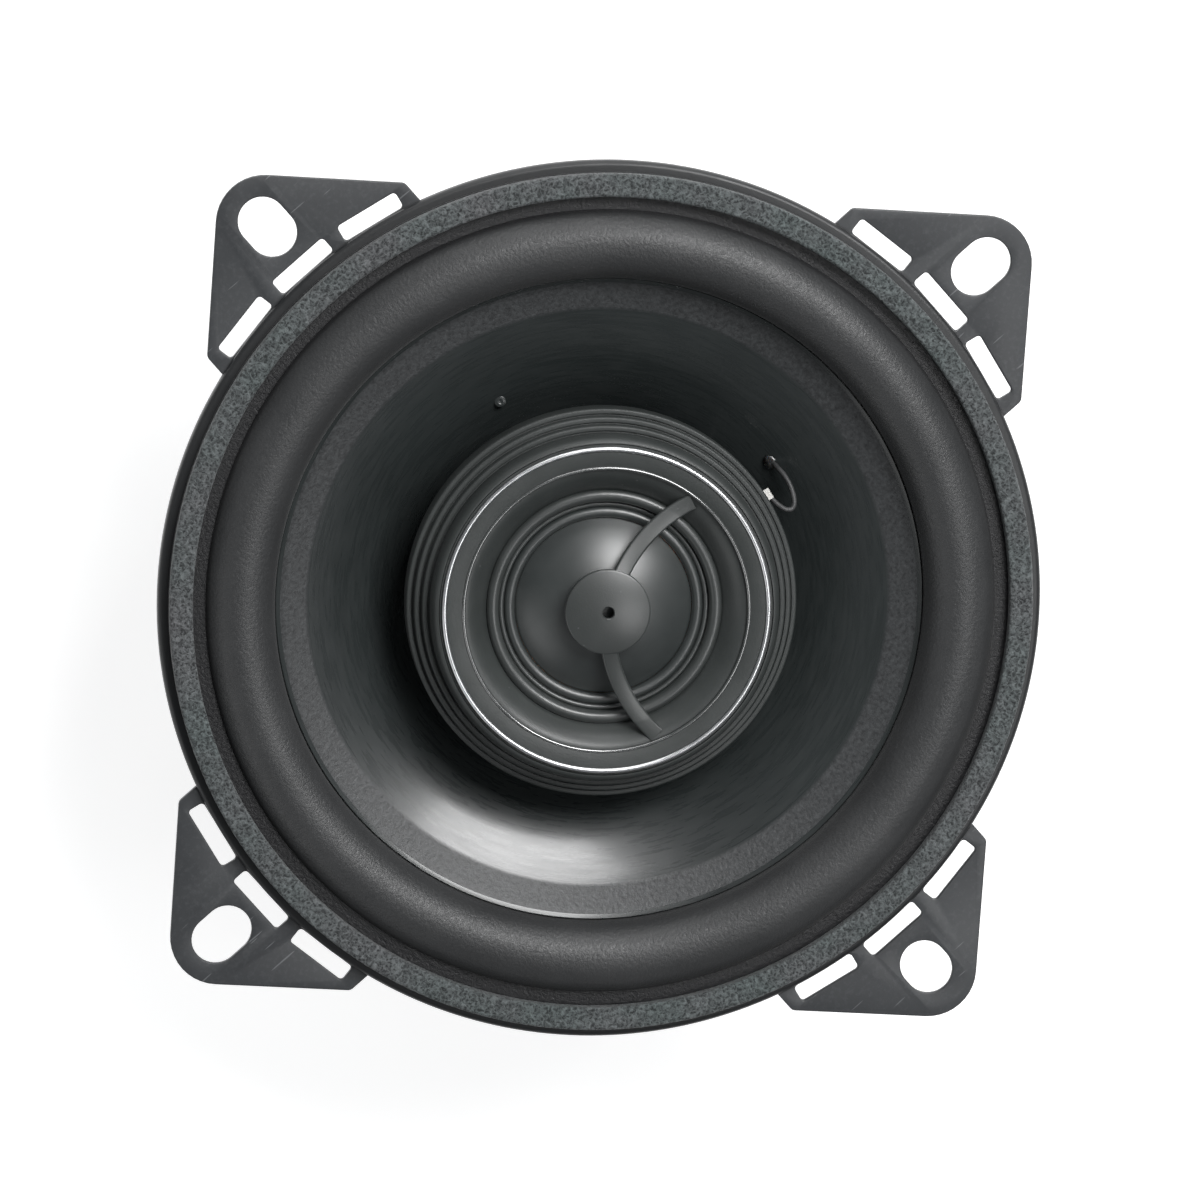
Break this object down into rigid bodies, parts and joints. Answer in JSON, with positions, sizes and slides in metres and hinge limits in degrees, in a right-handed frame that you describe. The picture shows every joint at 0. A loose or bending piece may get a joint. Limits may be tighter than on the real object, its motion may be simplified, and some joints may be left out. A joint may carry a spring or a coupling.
{
  "type": "coaxial car speaker",
  "caption": "Two-way coaxial car loudspeaker: a pressed steel frame with four slotted mounting tabs, a cone with a rubber surround, and a dome tweeter held over the cone on a post.",
  "frame": {"origin": "on the axis of the cone, in the plane of the backs of the four mounting tabs", "axes": "+Z is the listening direction, out of the front of the cone; +X and +Y each point at a mounting tab"},
  "size_m": [0.127, 0.127, 0.05],
  "materials": {
    "frame_paint": "satin",
    "zinc_plate": "satin",
    "ferrite": "matte",
    "foam": "matte",
    "surround_rubber": "satin",
    "cone_plastic": "satin",
    "moulded_plastic": "satin",
    "dome_film": "satin",
    "chrome": "polished",
    "tinned": "satin",
    "nickel_magnet": "satin",
    "copper_wire": "satin",
    "amber_film": "gloss",
    "spider_cloth": "matte",
    "felt": "matte",
    "phenolic_board": "satin",
    "capacitor_sleeve": "gloss",
    "lead_insulation": "satin",
    "tinsel_braid": "matte",
    "glue": "gloss"
  },
  "bodies": {
    "frame": {"basket": "frame_paint", "gasket": "foam", "flange_rivets": "zinc_plate", "top_plate": "zinc_plate", "ring_magnet": "ferrite", "yoke": "zinc_plate", "surround": "surround_rubber", "spider": "spider_cloth", "tweeter_post": "moulded_plastic", "post_screw": "zinc_plate", "tweeter_base": "moulded_plastic", "tweeter_housing": "moulded_plastic", "tweeter_yoke": "zinc_plate", "tweeter_magnet": "nickel_magnet", "tweeter_pole_disc": "zinc_plate", "damping_pad": "felt", "dome_clamp_ring": "moulded_plastic", "tweeter_surround": "surround_rubber", "tweeter_faceplate": "moulded_plastic", "trim_ring": "chrome", "diffuser": "moulded_plastic", "tweeter_terminals": "tinned", "terminal_board": "phenolic_board", "board_rivet": "zinc_plate", "positive_blade": "tinned", "negative_blade": "tinned", "blade_rivets": "zinc_plate", "crossover_capacitor": "capacitor_sleeve", "capacitor_leads": "tinned", "capacitor_glue": "glue", "tinsel_lead_positive": "tinsel_braid", "tinsel_lead_negative": "tinsel_braid", "tweeter_pigtails": "lead_insulation", "tweeter_feed_leads": "lead_insulation"},
    "cone": {"cone": "cone_plastic", "cone_eyelets": "tinned", "coil_former": "amber_film", "voice_coil": "copper_wire"},
    "tweeter_diaphragm": {"tweeter_dome": "dome_film", "tweeter_coil_former": "amber_film", "tweeter_voice_coil": "copper_wire"}
  },
  "joints": [
    {"name": "cone_travel", "type": "slide", "parent": "frame", "child": "cone", "axis": [0, 0, 1], "range_m": [-0.0035, 0.0035], "stiffness_N_per_m": 1600, "deforming": ["surround", "spider", "tinsel_lead_positive", "tinsel_lead_negative", "tweeter_pigtails", "tweeter_feed_leads"]},
    {"name": "tweeter_dome_travel", "type": "slide", "parent": "frame", "child": "tweeter_diaphragm", "axis": [0, 0, 1], "range_m": [-0.0003, 0.0003], "stiffness_N_per_m": 2000, "deforming": ["tweeter_surround"]}
  ]
}
